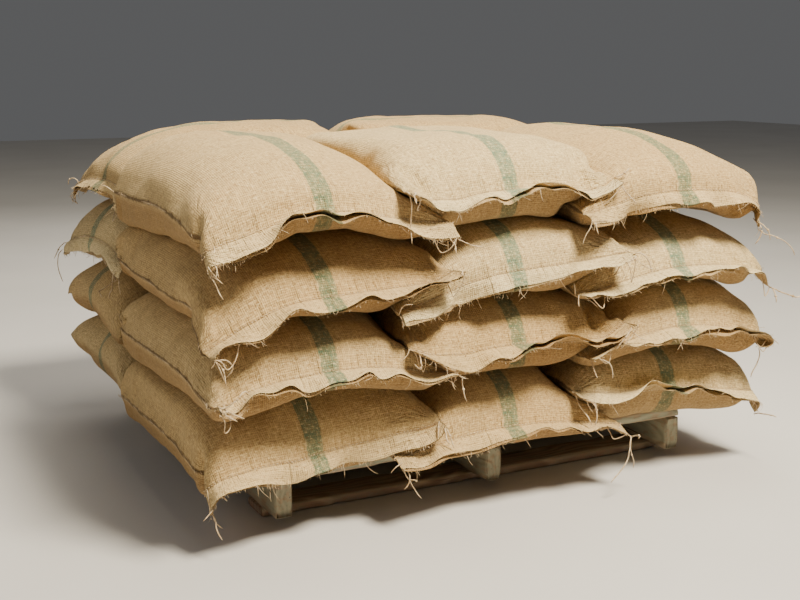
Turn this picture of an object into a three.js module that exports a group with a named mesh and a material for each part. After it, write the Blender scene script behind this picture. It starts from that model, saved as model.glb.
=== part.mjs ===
// A loaded timber pallet: twenty jute sacks in four layers of five on a two-way stringer pallet.
//
// Millimetres, +Z up, standing on z = 0. The mouths of the three sacks that lie side by side face -Y,
// and the two sacks behind them lie across, end to end along X. Every layer repeats the same pattern.
import * as THREE from "three";

// Driving dimensions of the pallet
const palletSide = 1165;
const stringer = { width: 45, height: 88 };
const deckBoard = { width: 98, thickness: 28, count: 6 };
const baseBoard = { width: 98, thickness: 24, inset: 83 };
const deckTop = baseBoard.thickness + stringer.height + deckBoard.thickness;

// Driving dimensions of the load, about the pallet's middle
const layers = 4;
const layerPitch = 178; // height that one laid sack takes up under those above it
const topCrown = 15; // extra height of the sacks that nothing presses on
const sideX = 762; // the free sides of the outer front sacks
const jointX = 240; // the joints beside the middle one
const mouthY = -679; // where the front sacks' mouths are sewn
const innerY = 86; // their inner ends, against the sacks behind
const backY = 703; // the free sides of the sacks behind
const closedEndX = 756; // their outer ends, where the closed end faces out
const mouthEndX = 724; // and where the mouth does
const clearance = 0.3; // between sacks that touch

// Driving dimensions of a sack's form
const form = {
  innerRound: 75, // length of the rounding at the end that is pressed against the other sacks
  hem: 3.5, // half the thickness of the two cloth layers where they are sewn together
  flap: 42, // cloth that stands out beyond the sewn mouth
  flapFall: 18, // how far the flap's edge hangs below the sewing
  ear: 8, // how far a free corner stands out
};

// What differs with the sack's place: the lengths over which the top and the underside come together
// at the outer end, how far the seam lies above the sack's middle height there, how blunt the sides are,
// and how far a free corner hangs and stands out sideways.
const places = {
  frontMouth: { topTaper: 200, bottomTaper: 45, seamLift: -20, side: [10, 2.6], earFall: 42, earSpread: 4 },
  backMouth: { topTaper: 140, bottomTaper: 110, seamLift: -4, side: [3.5, 2], earFall: 8, earSpread: 26 },
  closedEnd: { topTaper: 65, bottomTaper: 90, seamLift: 15, side: [3.5, 2], earFall: 0, earSpread: 24 },
};

// A sack of the top layer is rounder above, save the middle one, which its neighbours hold
const loose = {
  frontMouth: { topTaper: 230, side: [4, 2] },
  backMouth: { topTaper: 240, side: [2.8, 1.8] },
};

// Past the pallet's edge the layers sag, and each parts a little from the one above
const overhang = { start: 30, reach: 107, droop: 27, cornerDroop: 8, partStart: -25, parting: 0.04 };

// Faces of a sack's solid
const facesAlong = 10;
const facesOnFlap = 2;
const facesAcross = 8;

const jute = new THREE.MeshStandardMaterial({ color: 0xc9a875, roughness: 0.92, metalness: 0 });
const timber = new THREE.MeshStandardMaterial({ color: 0xa98d63, roughness: 0.85, metalness: 0 });

// A repeatable number from -1 to 1 that differs from sack to sack.
function sway(sackNumber, channel) {
  return Math.sin(12.9898 * sackNumber + 4.1414 * channel * channel + 1.7 * channel);
}

// A quarter of an ellipse: 0 at the edge, 1 once the distance from the edge reaches the length.
function rounded(distance, length) {
  const share = 1 - THREE.MathUtils.clamp(distance / length, 0, 1);
  return Math.sqrt(Math.max(0, 1 - Math.pow(share, 2.2)));
}

// How far the layers sag at a point of the load. They are level over the pallet, and at the mouths in
// front, where the sacks are packed full.
function droopAt(x, y) {
  const edge = palletSide / 2 + overhang.start;
  const past = [Math.abs(x), y].map((value) => Math.max(0, value - edge) / overhang.reach);
  const sag = overhang.droop * Math.pow(Math.max(...past), 1.2);
  return sag + overhang.cornerDroop * Math.pow(Math.min(...past), 1.2);
}

// How far a sack's top keeps from the sack above it at a point past the pallet's edge.
function partingAt(x, y) {
  const past = Math.max(Math.abs(x), y) - palletSide / 2 - overhang.partStart;
  return overhang.parting * Math.max(0, past);
}

// One filled sack in the load. It lies with its inner end at the given point and reaches outward from
// there, in degrees about Z. freeSide is the side that has no neighbour: -1, 0 or 1.
// A box of faces is bent into the sack's form.
function makeSack(name, { number, layer, at, outward, reach, width, freeSide, place }) {
  const { seamLift, earFall, earSpread, ...pressed } = places[place];
  const hasFlap = place !== "closedEnd";
  const columns = facesAlong + (hasFlap ? facesOnFlap : 0);
  const onTop = layer === layers - 1;
  const crown = onTop ? topCrown : 0;
  const middle = deckTop + (layer + 0.5) * layerPitch;
  const halfHeight = (layerPitch - clearance) / 2;
  const turn = THREE.MathUtils.degToRad(outward);
  const lipLift = 9 * sway(number, 1);
  const flapFall = form.flapFall + 9 * sway(number, 2);

  const geometry = new THREE.BoxGeometry(1, 1, 1, columns, facesAcross, 1);
  const point = geometry.getAttribute("position");
  for (let i = 0; i < point.count; i++) {
    const column = Math.round((point.getX(i) + 0.5) * columns);
    const across = Math.sin(Math.PI * point.getY(i));
    const isTop = point.getZ(i) > 0;
    const onFlap = Math.max(0, column - facesAlong) / facesOnFlap;
    const along = (1 - Math.cos((Math.PI * Math.min(column, facesAlong)) / facesAlong)) / 2;
    const isFree = freeSide !== 0 && Math.sign(across) === freeSide;
    const corner = Math.pow(along, 8) * Math.pow(Math.abs(across), 6);

    const body = along * reach;
    const standsOut = hasFlap ? 0 : form.ear * corner * (isFree ? 1 : 0.4);
    const x = body + onFlap * form.flap + standsOut;
    const y = (across * width) / 2 + (isFree ? freeSide * earSpread * corner : 0);
    const spot = new THREE.Vector2(x, y).rotateAround(new THREE.Vector2(), turn).add(at);

    const { topTaper, side } = isTop && onTop && freeSide !== 0 ? loose[place] : pressed;
    const sides = Math.pow(1 - Math.pow(Math.abs(across), side[0]), 1 / side[1]);
    const outerEnd = rounded(reach - body, isTop ? topTaper : pressed.bottomTaper);
    const full = sides * rounded(body, form.innerRound) * outerEnd;
    const ripple = hasFlap ? 5 * Math.sin(5 * across + number) * Math.pow(along, 12) : 0;
    const sewing = Math.pow(along, 6) * (seamLift + lipLift * (1 - 0.3 * across * across)) + ripple;
    const hanging = (isFree ? earFall * corner : 0) + flapFall * Math.pow(onFlap, 1.3);
    const seam = middle - droopAt(spot.x, spot.y) + sewing * (1 - full) - hanging;
    const height = halfHeight + (isTop ? crown - partingAt(spot.x, spot.y) : 0);
    const rise = Math.max(full * height, form.hem);
    point.setXYZ(i, spot.x, spot.y, seam + (isTop ? rise : -rise));
  }
  geometry.computeVertexNormals();
  const mesh = new THREE.Mesh(geometry, jute);
  mesh.name = name;
  return mesh;
}

// One layer of five. The joints between its sacks are moved a little from layer to layer.
function makeLayer(layer) {
  const group = new THREE.Group();
  const first = layer * 5;
  const inner = innerY + 8 * sway(first, 3);
  const edges = [-sideX, -jointX + 14 * sway(first, 4), jointX + 14 * sway(first, 5), sideX];
  ["left", "middle", "right"].forEach((side, i) => {
    const number = first + i;
    const sack = makeSack(`sack_${layer + 1}_front_${side}`, {
      number,
      layer,
      at: new THREE.Vector2((edges[i] + edges[i + 1]) / 2, inner - clearance),
      outward: -90,
      reach: inner - mouthY + 8 * sway(number, 6),
      width: edges[i + 1] - edges[i] - 2 * clearance,
      freeSide: i - 1,
      place: "frontMouth",
    });
    group.add(sack);
  });
  const joint = 12 * sway(first, 7);
  [-1, 1].forEach((side, i) => {
    const number = first + 3 + i;
    const mouthOut = side < 0 ? layer > 1 : layer % 2 === 1;
    const endX = (mouthOut ? mouthEndX : closedEndX) + 6 * sway(number, 6);
    const sack = makeSack(`sack_${layer + 1}_back_${side < 0 ? "left" : "right"}`, {
      number,
      layer,
      at: new THREE.Vector2(joint + side * clearance, (inner + backY) / 2 + clearance),
      outward: side < 0 ? 180 : 0,
      reach: endX - side * joint,
      width: backY - inner,
      freeSide: side,
      place: mouthOut ? "backMouth" : "closedEnd",
    });
    group.add(sack);
  });
  return group;
}

function makeTimber(name, [sizeX, sizeY, sizeZ], [x, y, bottom]) {
  const mesh = new THREE.Mesh(new THREE.BoxGeometry(sizeX, sizeY, sizeZ), timber);
  mesh.name = name;
  mesh.position.set(x, y, bottom + sizeZ / 2);
  return mesh;
}

// Three stringers on edge, six deck boards across them and three base boards under them.
function makePallet() {
  const group = new THREE.Group();
  const stringerX = (palletSide - stringer.width) / 2;
  ["left", "centre", "right"].forEach((place, i) => {
    const size = [stringer.width, palletSide, stringer.height];
    group.add(makeTimber(`stringer_${place}`, size, [(i - 1) * stringerX, 0, baseBoard.thickness]));
  });
  const deckPitch = (palletSide - deckBoard.width) / (deckBoard.count - 1);
  for (let i = 0; i < deckBoard.count; i++) {
    const y = -palletSide / 2 + deckBoard.width / 2 + i * deckPitch;
    const size = [palletSide, deckBoard.width, deckBoard.thickness];
    group.add(makeTimber(`deck_board_${i + 1}`, size, [0, y, baseBoard.thickness + stringer.height]));
  }
  const baseY = palletSide / 2 - baseBoard.inset - baseBoard.width / 2;
  ["front", "middle", "back"].forEach((place, i) => {
    const size = [palletSide, baseBoard.width, baseBoard.thickness];
    group.add(makeTimber(`base_board_${place}`, size, [0, (i - 1) * baseY, 0]));
  });
  return group;
}

const palletOfSacks = new THREE.Group();
palletOfSacks.add(makePallet());
for (let layer = 0; layer < layers; layer++) palletOfSacks.add(makeLayer(layer));

// The origin is at floor level under the middle of the whole load.
const extent = new THREE.Box3().setFromObject(palletOfSacks, true);
const centre = extent.getCenter(new THREE.Vector3());
palletOfSacks.position.set(-centre.x, -centre.y, 0);

export default palletOfSacks;
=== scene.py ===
import math
import time

import bpy
import numpy as np
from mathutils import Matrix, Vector


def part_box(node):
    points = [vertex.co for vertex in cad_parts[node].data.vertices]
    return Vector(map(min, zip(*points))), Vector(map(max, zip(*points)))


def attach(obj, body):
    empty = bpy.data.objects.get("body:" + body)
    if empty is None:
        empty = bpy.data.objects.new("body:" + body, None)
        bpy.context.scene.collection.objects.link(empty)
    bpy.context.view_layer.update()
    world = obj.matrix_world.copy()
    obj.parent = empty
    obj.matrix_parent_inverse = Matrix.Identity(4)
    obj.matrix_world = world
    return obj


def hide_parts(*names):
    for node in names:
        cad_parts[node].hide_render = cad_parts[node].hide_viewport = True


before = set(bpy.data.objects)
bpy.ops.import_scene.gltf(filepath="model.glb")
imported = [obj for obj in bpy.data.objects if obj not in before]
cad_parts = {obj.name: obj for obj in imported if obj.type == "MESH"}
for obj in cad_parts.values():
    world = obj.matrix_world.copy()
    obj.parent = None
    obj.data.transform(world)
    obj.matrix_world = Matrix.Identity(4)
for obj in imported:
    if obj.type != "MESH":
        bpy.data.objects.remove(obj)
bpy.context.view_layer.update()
startTime = time.time()

# the load: layers of three sacks with their mouths to -Y, and two that lie across behind them
# places are measured from the pallet's middle, lengths in metres
load = {
    "layers": 4,
    "deckTop": 0.140,
    "pitch": 0.176,
    "palletHalf": 0.5825,
    "sideX": 0.720,         # outer ends of the sacks behind, and sides of those in front
    "backY": 0.701,
    "mouthY": -0.701,
    "overhang": 0.137,
    "droop": 0.020,         # of the layers beyond the pallet's sides
    "cornerDroop": 0.006,   # and further at its corners
    "crownInside": 0.010,   # how far a sack pushes up into the one above
    "crownAtEdge": 0.046,
    "crownFade": 0.09,      # width over which that fades out beside a joint
    "edgeX": (0.46, 0.70),  # where the inside ends and the edge begins
    "edgeY": (0.43, 0.67),
    "wave": 0.0035,         # unevenness between the layers
    "ripple": 0.002,
    "places": ["front_left", "front_middle", "front_right", "back_left", "back_right"],
    "mouthOut": {"back_left": (3, 4), "back_right": (2, 4)},   # layers, in front it is always out
}

sack = {
    "columns": 72,          # round the tube of cloth
    "rows": 48,             # from the bottom seam to the sewn mouth
    "flapRows": 3,
    "flatWidth": {"front": 0.645, "back": 0.680},
    "length": 0.922,
    "flap": 0.048,
    "volume": {"front": 0.0612, "back": 0.0685},
    "laidHeight": 0.112,    # of the flat bag's inner end, before it is filled
    "laidDrop": 0.052,      # of its outer end
    "laidRise": 0.05,
    "seamHeight": 0.067,    # of the sewn mouth above the sack's underside
    "closedHigher": 0.022,  # by how much a closed outer end's seam is higher
    "seamWave": 0.007,      # of the outer seam
    "sideHeight": 0.094,    # of the side seam on the free side
    "seamSway": 0.009,      # up and down along it
    "earClimb": 0.042,      # of the corner that lies over the neighbour's shoulder
    "earTuck": 0.020,       # of the corner that lies under the neighbour's
    "earHang": 0.022,       # of a corner with no neighbour
    "cloth": 0.0016,
    "uneven": 0.006,        # share by which the weaving varies
    "gather": 0.960,        # of the seams by their thread
    "ridge": 0.0045,        # how far the side seams stand out
    "crest": 0.0085,        # and the one on the free side
    "crestBeside": 0.35,
    "crease": 0.8,          # sharpness of the sewing and of that seam
    "lumps": 0.0020,        # unevenness of the filling under the cloth
    "lumpLength": (0.055, 0.16),
    "folds": 0.0085,        # of the cloth at the corners
    "foldReach": 0.065,
    "pleats": 0.0011,       # beside the sewing of the mouth
    "pleatWidth": (0.035, 0.09),
    "pleatReach": 0.05,
    "deepFold": (0.007, 0.020),
    "deepWidth": (0.012, 0.020),
    "deepReach": (0.06, 0.15),
    "crumple": 0.017,       # of the flap
    "flapTilt": (-0.05, 0.60),      # angles down from level, of most flaps
    "hangingTilt": 0.50,            # and further down, of the share of flaps in the next value
    "hanging": 0.28,
    "flapWave": 0.013,
    "flapKink": 0.036,
    "flapGap": (0.0028, 0.005),     # between its two layers
    "seed": 7,
    # from sack to sack, drawn in this order
    "spread": {
        "width": (-0.006, 0.006),
        "length": (-0.016, 0.016),
        "volume": (0.96, 1.035),
        "seamHeight": (-0.024, 0.018),
        "tilt": (-0.018, 0.018),
        "phase": (0, 6.283),
        "arch": (-0.006, 0.022),
    },
}

# the cloth's solver: shares of a full correction, and metres for each step
solver = {
    "coarseSteps": 420,
    "fineSteps": 300,
    "quickSteps": 20,
    "passes": 3,            # over the cloth's lengths in each step
    "shear": 0.35,
    "bend": 0.35,
    "sharpest": 0.96,       # how far two lengths of cloth reach at least over a fold
    "damping": 0.90,
    "maxMove": 0.006,
    "weight": 0.00005,
    "pressure": 0.0009,
    "head": 0.9,            # how much more the filling presses at the bottom
    "seamPull": 0.05,       # of the outer seams to their heights
    "sidePull": 0.12,
    "flapPull": 0.07,
    "sewnGap": 0.0012,
}

# how the sacks share the room of a layer
room = {
    "gap": 0.0008,          # to the surfaces below and above
    "flapDrop": 0.035,      # how far below its layer a flap may hang beyond the pallet
    "topRise": 0.024,       # of the uppermost sacks, which nothing presses
    "grip": 0.55,           # share of a step that friction takes back
    "jointGap": 0.001,      # half of the gap at a joint
    "overlap": 0.12,        # of the sacks at first, which closes as they settle
    "height": 0.088,        # above the layer's bottom, where a leaning joint is in its place
    "slope": 0.45,          # of the joints between the front sacks
    "mouthSlope": 1.25,     # and further at the mouths
    "mouthLower": 0.020,
    "mouthY": (0.41, 0.70), # where that begins and is full
    "innerSlope": 0.30,
    "backSlope": 0.45,
    "wander": 0.009,        # of the front joints from their places
    "innerWander": 0.006,
    "softX": 0.760,         # beyond it a sack is drawn in softly
    "softY": 0.732,
    "hardX": 0.805,
    "hardY": 0.772,
}


def sackNames():
    return [f"sack_{layer + 1}_{place}"
            for layer in range(load["layers"]) for place in load["places"]]


# the pallet's middle in the frame
def palletMiddle():
    low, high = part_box("stringer_left")[0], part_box("stringer_right")[1]
    return (low[0] + high[0]) / 2, (low[1] + high[1]) / 2


# where the joints between the sacks of each layer are, read from the frame
def readCells():
    middleX, middleY = palletMiddle()
    rows = []
    for layer in range(load["layers"]):
        low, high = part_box(f"sack_{layer + 1}_front_middle")
        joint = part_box(f"sack_{layer + 1}_back_left")[1][0]
        rows.append((low[0] - middleX, high[0] - middleX, high[1] - middleY, joint - middleX))
    return dict(zip(("left", "right", "inner", "joint"), np.array(rows, dtype=np.float32).T))


def smooth(value, start, end):
    t = np.clip((value - start) / (end - start), 0, 1)
    return t * t * (3 - 2 * t)


def unit(vectors):
    return vectors / (np.sqrt((vectors ** 2).sum(axis=0, keepdims=True)) + 1e-9)


def column3(values):
    return np.array(values, dtype=np.float32)[:, None, None]


# 1 and -1 at the two side seams, for the columns on top of a bag and then for those underneath
def acrossBag(columns):
    half = columns // 2
    j = np.arange(columns)
    return np.where(j <= half, 1 - 2 * j / half, 2 * (j - half) / half - 1)


# height of the surface between the layers: it sags past the pallet and swells over each sack
def layerSurface(k, x, y, cells):
    px, py = (np.maximum(0, np.abs(v) - load["palletHalf"]) / load["overhang"] for v in (x, y))
    droop = load["droop"] * np.maximum(px, py) ** 1.5 + load["cornerDroop"] * np.minimum(px, py)
    under, over = (np.clip(n, 0, load["layers"] - 1) for n in (k - 1, k))
    left, right, inner, joint = ((values[under] + values[over]) / 2 for values in cells.values())
    low = np.where(x < left, -load["sideX"], np.where(x < right, left, right))
    high = np.where(x < left, left, np.where(x < right, right, load["sideX"]))
    frontSwell = 1 - ((2 * x - low - high) / (high - low)) ** 2
    backSwell = 1 - ((2 * y - inner - load["backY"]) / (load["backY"] - inner)) ** 2
    fromJoint = np.clip(np.abs(x - joint) / load["crownFade"], 0, 1)
    fromInner = np.clip(np.abs(y - inner) / load["crownFade"], 0, 1)
    inFront = y < inner
    swell = np.where(inFront, frontSwell * fromInner, backSwell * fromJoint)
    edge = np.where(inFront, smooth(-y, *load["edgeY"]), smooth(np.abs(x), *load["edgeX"]))
    crown = load["crownInside"] * (1 - edge) + load["crownAtEdge"] * edge
    wave = load["wave"] * np.sin(9.1 * x + 2.3 * k) * np.sin(8.3 * y - 1.7 * k)
    wave = wave + load["ripple"] * np.sin(23 * x - 17 * y + 5 * k)
    shape = np.where(k > 0, crown * (np.clip(swell, -0.6, 1) - 0.55 * edge) + wave, 0)
    return load["deckTop"] + load["pitch"] * k - droop + shape


# one distance constraint between two sets of cloth points of the array (3, sack, row, column)
def pull(p, a, b, rest, stiffness=1.0, onlyPush=False):
    d = p[b] - p[a]
    length = np.sqrt(d[0] * d[0] + d[1] * d[1] + d[2] * d[2]) + 1e-9
    share = (1 - rest / length) * (0.5 * stiffness)
    if onlyPush:
        share = np.minimum(share, 0)
    d *= share
    p[a] += d
    p[b] -= d


def relaxCloth(p, alongRest, roundRest):
    every, first, last = slice(None), slice(0, 1), slice(-1, None)
    butLast, butFirst = slice(None, -1), slice(1, None)
    rows = p.shape[2]
    for start in (0, 1):
        end = start + 2 * ((rows - start) // 2)
        a, b = slice(start, end, 2), slice(start + 1, end, 2)
        rest = alongRest[:, a]
        pull(p, (every, every, a), (every, every, b), rest)
        diagonal = np.sqrt(rest ** 2 + roundRest[:, a] ** 2)
        for here, there, part in ((butLast, butFirst, butLast), (butFirst, butLast, butLast),
                                  (last, first, last), (first, last, last)):
            across = diagonal[..., part]
            pull(p, (every, every, a, here), (every, every, b, there), across, solver["shear"])
    for here, there in ((slice(0, None, 2), slice(1, None, 2)),
                        (slice(1, -1, 2), slice(2, None, 2)), (last, first)):
        pull(p, (..., here), (..., there), roundRest[..., here])


# folds tighter than the cloth allows are opened
def stiffenCloth(p, alongRest, roundRest):
    every, reach = slice(None), solver["sharpest"]
    rows, columns = p.shape[2:]
    for start in range(4):
        a, b = slice(start, rows - 2, 4), slice(start + 2, rows, 4)
        rest = alongRest[:, a] + alongRest[:, start + 1:rows - 1:4]
        pull(p, (every, every, a), (every, every, b), rest * reach, solver["bend"], True)
    for start in range(4):
        a, b = slice(start, columns - 2, 4), slice(start + 2, columns, 4)
        pull(p, (..., a), (..., b), roundRest[..., a] * (2 * reach), solver["bend"], True)


# area-weighted normals that point out of the tube
def clothNormals(p):
    dRow = np.empty_like(p)
    dRow[:, :, 1:-1] = p[:, :, 2:] - p[:, :, :-2]
    dRow[:, :, 0] = p[:, :, 1] - p[:, :, 0]
    dRow[:, :, -1] = p[:, :, -1] - p[:, :, -2]
    dRound = np.roll(p, -1, axis=3) - np.roll(p, 1, axis=3)
    return np.cross(dRound, dRow, axis=0) * 0.25


# unit normals of one sack's points (3, row, column)
def sackNormals(points):
    return unit(clothNormals(points[:, None])[:, 0])


def tubeVolume(p, rows):
    q = p[:, :, :rows + 1]
    nextRound = np.roll(q, -1, axis=3)
    a, b, c, d = q[:, :, :-1], nextRound[:, :, :-1], nextRound[:, :, 1:], q[:, :, 1:]
    area = np.cross(c - a, d - b, axis=0) * 0.5
    centre = (a + b + c + d) * 0.25
    return (centre * area).sum(axis=(0, 2, 3)) / 3


# most flaps stand out, the rest hang down
def flapTilt(share):
    low, high = sack["flapTilt"]
    return low + (high - low) * share + (sack["hangingTilt"] if share > 1 - sack["hanging"] else 0)


# every sack's facts in one table, in the order of sackNames()
def sackTable(cells):
    rng = np.random.default_rng(sack["seed"])
    table = []
    for layer in range(load["layers"]):
        edges = (-load["sideX"], cells["left"][layer], cells["right"][layer], load["sideX"])
        inner, joint = cells["inner"][layer], cells["joint"][layer]
        for place in load["places"]:
            depth, column = place.split("_")
            side = {"left": -1, "middle": 0, "right": 1}[column]
            if depth == "front":
                start = (0.5 * (edges[side + 1] + edges[side + 2]) - 0.018 * side, inner)
                outward, reach = (0, -1), inner - load["mouthY"]
            else:
                start = (joint, 0.5 * (inner + load["backY"]))
                outward, reach = (side, 0), load["sideX"] - side * joint
            mouthOut = depth == "front" or layer + 1 in load["mouthOut"][place]
            turned = 1 if mouthOut else -1
            vary = {key: rng.uniform(*limits) for key, limits in sack["spread"].items()}
            table.append({
                "layer": layer,
                "place": place,
                "start": start,         # of the sack's axis at its inner end
                "outward": outward,
                "reach": reach,
                "mouthOut": mouthOut,
                "turned": turned,
                "freeSide": side * turned,
                "width": sack["flatWidth"][depth] + vary["width"],
                "length": sack["length"] + vary["length"],
                "volume": sack["volume"][depth] * vary["volume"],
                "seamHeight": sack["seamHeight"] + vary["seamHeight"],
                "tilt": vary["tilt"],
                "phase": vary["phase"],
                "arch": vary["arch"],
                "flapTilt": flapTilt(rng.uniform()),
            })
    return table


# the flat sewn bags, laid in their places with their outer ends lower
def laidFlat(table, rows, columns, alongRest):
    p = np.zeros((3, len(table), alongRest.shape[1] + 1, columns), dtype=np.float32)
    j = np.arange(columns)
    half = columns // 2
    onTop = np.where((j > 0) & (j < half), 1, np.where(j > half, -1, 0))
    for n, row in enumerate(table):
        distance = np.concatenate([[0], np.cumsum(alongRest[n].mean(axis=1))])
        body = distance[rows]
        along = distance if row["mouthOut"] else body - distance
        u = row["reach"] - body + along
        v = acrossBag(columns) * row["turned"] * row["width"] / 2
        ux, uy = row["outward"]
        rise = np.clip(1 - (2 * along / body - 1) ** 2, 0, 1)[:, None] * onTop * sack["laidRise"]
        bottom = load["deckTop"] + load["pitch"] * row["layer"]
        middle = bottom + sack["laidHeight"] - sack["laidDrop"] * np.clip(along / body, 0, 1.1)
        p[0, n] = row["start"][0] + ux * u[:, None] - uy * v
        p[1, n] = row["start"][1] + uy * u[:, None] + ux * v
        p[2, n] = middle[:, None] + rise + onTop * 0.002
    return p


# keeps each sack in the room that its neighbours leave it
def keepInPlace(p, before, facts, cells, closing, isFlap):
    x, y, z = p
    layer, gap, near = facts["layer"], room["gap"], room["jointGap"]
    joints = {name: values[facts["layerIndex"]][:, None, None] for name, values in cells.items()}
    beyond = (np.abs(x) > load["palletHalf"]) | (np.abs(y) > load["palletHalf"])
    low = layerSurface(layer, x, y, cells) - np.where(beyond & isFlap, room["flapDrop"], 0)
    high = layerSurface(layer + 1, x, y, cells) - gap
    high = high + np.where(layer == load["layers"] - 1, room["topRise"], 0)
    touchLow, touchHigh = z < low + gap, z > high
    z = np.where(touchLow, low + gap, np.where(touchHigh, high, z))
    grip = np.where(touchLow | touchHigh, room["grip"], 0).astype(np.float32)
    x = x - (x - before[0]) * grip
    y = y - (y - before[1]) * grip

    bottom = load["deckTop"] + load["pitch"] * layer
    mouth = smooth(-y, *room["mouthY"])
    slope = room["slope"] + room["mouthSlope"] * mouth
    reference = bottom + room["height"] - room["mouthLower"] * mouth
    slack = (1 - closing) * room["overlap"]
    # at each joint between two front sacks one leans over the other
    for joint, nearSack, farSack, lean, start in (
        ("left", "front_left", "front_middle", "leanLeft", 1),
        ("right", "front_middle", "front_right", "leanRight", 4),
    ):
        k = slope * facts[lean]
        steep = np.sqrt(1 + k * k)
        wander = room["wander"] * np.sin(11 * y + 3 * layer + start)
        limit = joints[joint] + wander + k * (z - reference)
        over = (x - (limit - near + slack)) / steep
        under = (x - (limit + near - slack)) / steep
        push = np.where(facts[nearSack] & (over > 0), -over, 0)
        push = push + np.where(facts[farSack] & (under < 0), -under, 0)
        x = x + push / steep
        z = z - push * k / steep
    # the front sacks' inner ends meet the sides of those behind
    height = z - bottom - room["height"]
    limit = joints["inner"] + room["innerWander"] * np.sin(8 * x + 2 * layer)
    limit = limit + room["innerSlope"] * facts["leanInner"] * height
    behind = np.minimum(0, y - (limit + near - slack))
    y = y - np.where(facts["isFront"], np.maximum(0, y - (limit - near)), behind)
    # and the two that lie across meet each other
    limit = joints["joint"] + room["backSlope"] * facts["leanLeft"] * height
    limit = limit + room["innerWander"] * np.sin(9 * y)
    over = np.where(facts["back_left"], np.maximum(0, x - (limit - near)), 0)
    x = x - (over + np.where(facts["back_right"], np.minimum(0, x - (limit + near)), 0))

    def drawnIn(value, soft, hard):
        value = value - np.sign(value) * np.clip((np.abs(value) - soft) * 0.25, 0, 0.01)
        return np.clip(value, -hard, hard)

    x, y = drawnIn(x, room["softX"], room["hardX"]), drawnIn(y, room["softY"], room["hardY"])
    return np.stack([x, y, z]).astype(np.float32)


# the two layers are held together at the bottom seam and at the sewn mouth
def sewSeams(p, rows):
    columns = p.shape[3]
    half = columns // 2
    mirror = -np.arange(columns) % columns
    for row in (0, rows):
        line = p[:, :, row]
        middle = (line + line[..., mirror]) * 0.5
        offset = line - middle
        length = np.sqrt((offset ** 2).sum(axis=0)) + 1e-9
        line = middle + offset * np.minimum(1, solver["sewnGap"] / length)
        beside = line[..., 2:half + 1] + line[..., :half - 1]
        line[..., 1:half] += 0.02 * (beside - 2 * line[..., 1:half])
        p[:, :, row] = line


# the flap's two layers keep their order and stay near each other, and it hangs at its own angle
def steerFlap(p, rows, facts):
    flapRows, columns = p.shape[2] - 1 - rows, p.shape[3]
    flapRest = sack["flap"] / sack["flapRows"]
    half = columns // 2
    top = np.arange(half + 1)
    under = -top % columns
    fromCorner = 1 - np.abs(1 - 2 * top / half) ** 6
    stitch = 0.5 * (p[:, :, rows, top] + p[:, :, rows, under])
    tangent = np.empty_like(stitch)
    tangent[..., 1:-1] = stitch[..., 2:] - stitch[..., :-2]
    tangent[..., 0] = stitch[..., 1] - stitch[..., 0]
    tangent[..., -1] = stitch[..., -1] - stitch[..., -2]
    phase = facts["phase"][:, None]
    tilt = facts["flapTilt"][:, None] + 0.45 * np.sin(phase + top * (7.0 / half))
    tilt = tilt + 0.20 * np.sin(2.3 * phase - top * (17.0 / half))
    down = np.array([0, 0, -1], dtype=np.float32)[:, None, None]
    aim = facts["out"][:, :, None] * np.cos(tilt) + down * np.sin(tilt)
    normal = unit(np.cross(tangent, aim, axis=0))
    wave = np.zeros_like(tilt)
    for n, (count, share) in enumerate(((11, 0.5), (19, 0.35), (31, 0.25))):
        wave += share * np.sin(count * (top / half) + (2.1 + n) * phase * (n + 1))
    wave = fromCorner * (sack["flapWave"] * wave + facts["kinks"])
    for n in range(1, flapRows + 1):
        line = p[:, :, rows + n, :]
        a, b = line[..., top], line[..., under]
        target = stitch + aim * flapRest * n + normal * (wave * n / flapRows)
        shift = (target - 0.5 * (a + b)) * solver["flapPull"]
        gap = ((a - b) * normal).sum(axis=0)
        gape = facts["gapes"] * n / flapRows
        least, most = sack["flapGap"]
        wanted = np.clip(gap, (least + 0.013 * gape) * fromCorner,
                         (most + 0.006 * n / flapRows + 0.018 * gape) * fromCorner)
        correction = normal * (0.5 * (wanted - gap))
        a = a + shift + correction
        b = b + shift - correction
        for layer in (a, b):
            layer[..., 1:-1] += 0.07 * (layer[..., 2:] + layer[..., :-2] - 2 * layer[..., 1:-1])
        line[..., top] = a
        line[..., under] = b


# the table's facts as arrays, which way each joint leans, and the bends and gapes of the flaps
def factArrays(table, columns):
    rng = np.random.default_rng(sack["seed"] + 1)
    layers = np.array([row["layer"] for row in table])
    facts = {"layerIndex": layers, "layer": layers[:, None, None]}
    for name, chance in (("leanLeft", 0.75), ("leanRight", 0.75), ("leanInner", 0.5)):
        lean = np.where(rng.uniform(size=load["layers"]) < chance, 1.0, -1.0)
        facts[name] = column3(lean[layers])
    for place in load["places"]:
        facts[place] = column3([row["place"] == place for row in table]) > 0
    facts["isFront"] = facts["front_left"] | facts["front_middle"] | facts["front_right"]
    for name in ("flapTilt", "phase"):
        facts[name] = np.array([row[name] for row in table], dtype=np.float32)
    turned = np.array([row["turned"] for row in table], dtype=np.float32)
    facts["out"] = np.array([(*row["outward"], 0) for row in table], dtype=np.float32).T * turned
    half = columns // 2
    t = np.linspace(0, 1, half + 1)
    kinks, gapes = np.zeros((2, len(table), half + 1), dtype=np.float32)
    for n in range(len(table)):
        for _ in range(int(rng.integers(3, 6))):
            away = np.abs(t - rng.uniform(0.06, 0.94)) / rng.uniform(0.05, 0.11)
            kinks[n] += rng.uniform(-sack["flapKink"], sack["flapKink"]) * np.maximum(0, 1 - away)
        for _ in range(int(rng.integers(1, 3))):
            away = (t - rng.uniform(0.12, 0.88)) / rng.uniform(0.08, 0.18)
            gapes[n] += rng.uniform(0.3, 1.0) * np.exp(-away ** 2)
    facts["kinks"], facts["gapes"] = kinks, gapes
    return facts


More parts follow.
